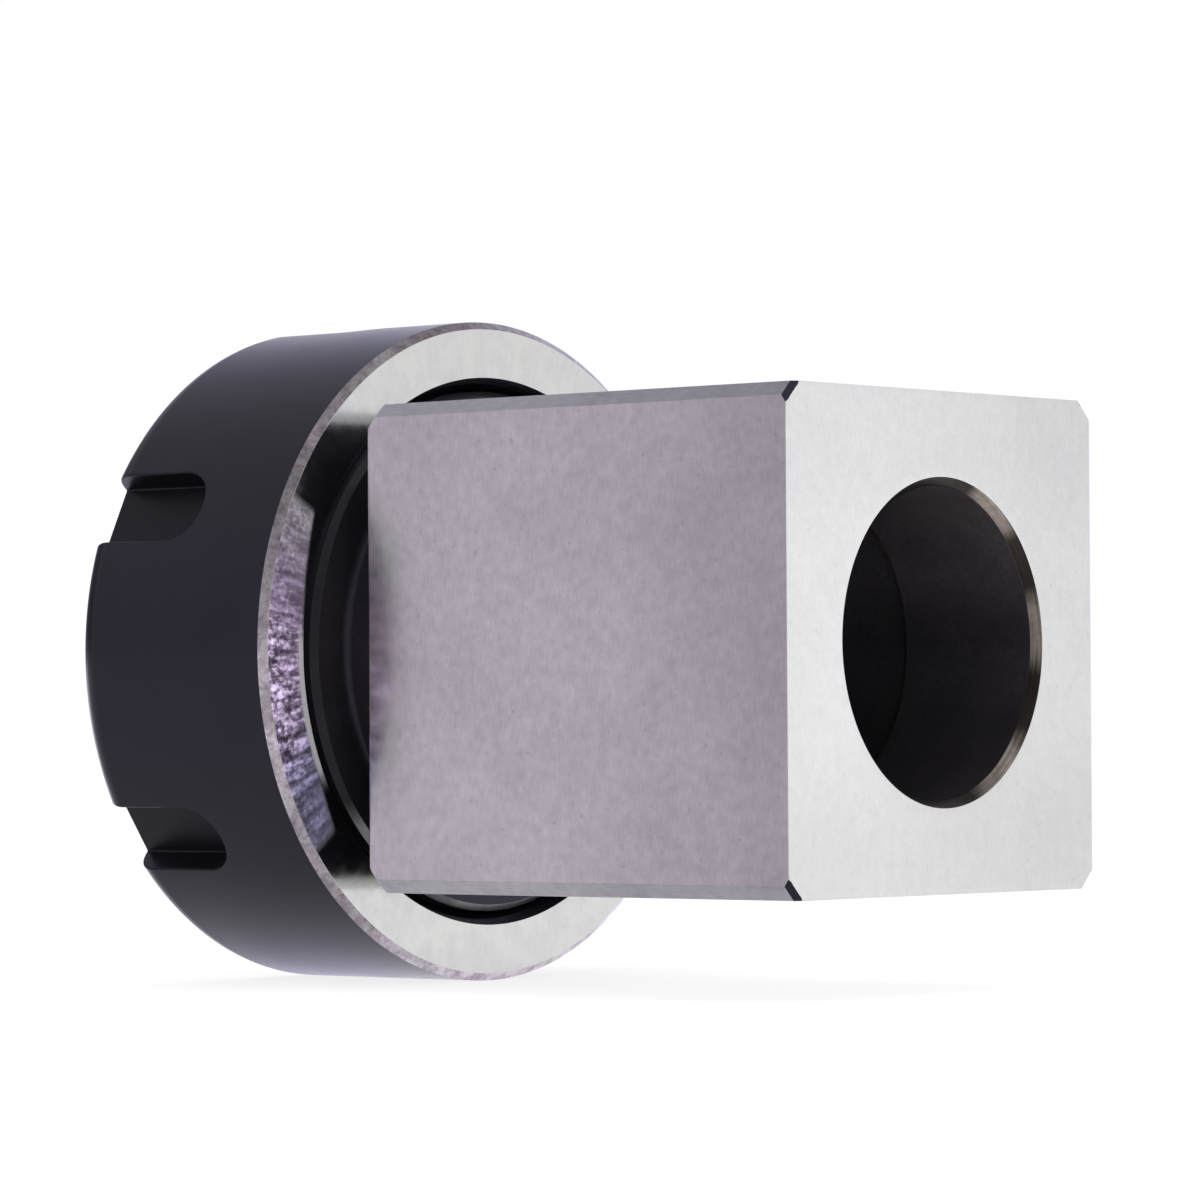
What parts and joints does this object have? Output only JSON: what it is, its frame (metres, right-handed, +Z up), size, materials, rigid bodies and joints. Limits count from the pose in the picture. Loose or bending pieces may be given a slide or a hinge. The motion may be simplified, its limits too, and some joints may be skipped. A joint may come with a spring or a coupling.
{
  "type": "square collet block",
  "caption": "Square ground-steel collet block, bored through, with a threaded nose and a round black clamping nut that has spanner slots.",
  "frame": {"origin": "on the spindle axis, halfway between the block's rear face and the nut's front face", "axes": "+X along the spindle axis, out of the block's bored rear face; +Z up, square to the block's top flat; -Y out of the flat that the picture shows"},
  "size_m": [0.079, 0.063, 0.063],
  "materials": {
    "ground_steel": "fine ground flats, satin, with a faint lilac-grey mottle",
    "black_oxide": "satin black oxide, with the nut's rear ring ground bright"
  },
  "bodies": {
    "block": {"collet_block_body": "ground_steel"},
    "nut": {"clamping_nut": "black_oxide"}
  },
  "joints": [
    {"name": "nut_turn", "type": "hinge", "parent": "block", "child": "nut", "pos_m": [-0.02705, 0, 0], "axis": [1, 0, 0], "continuous": true}
  ]
}
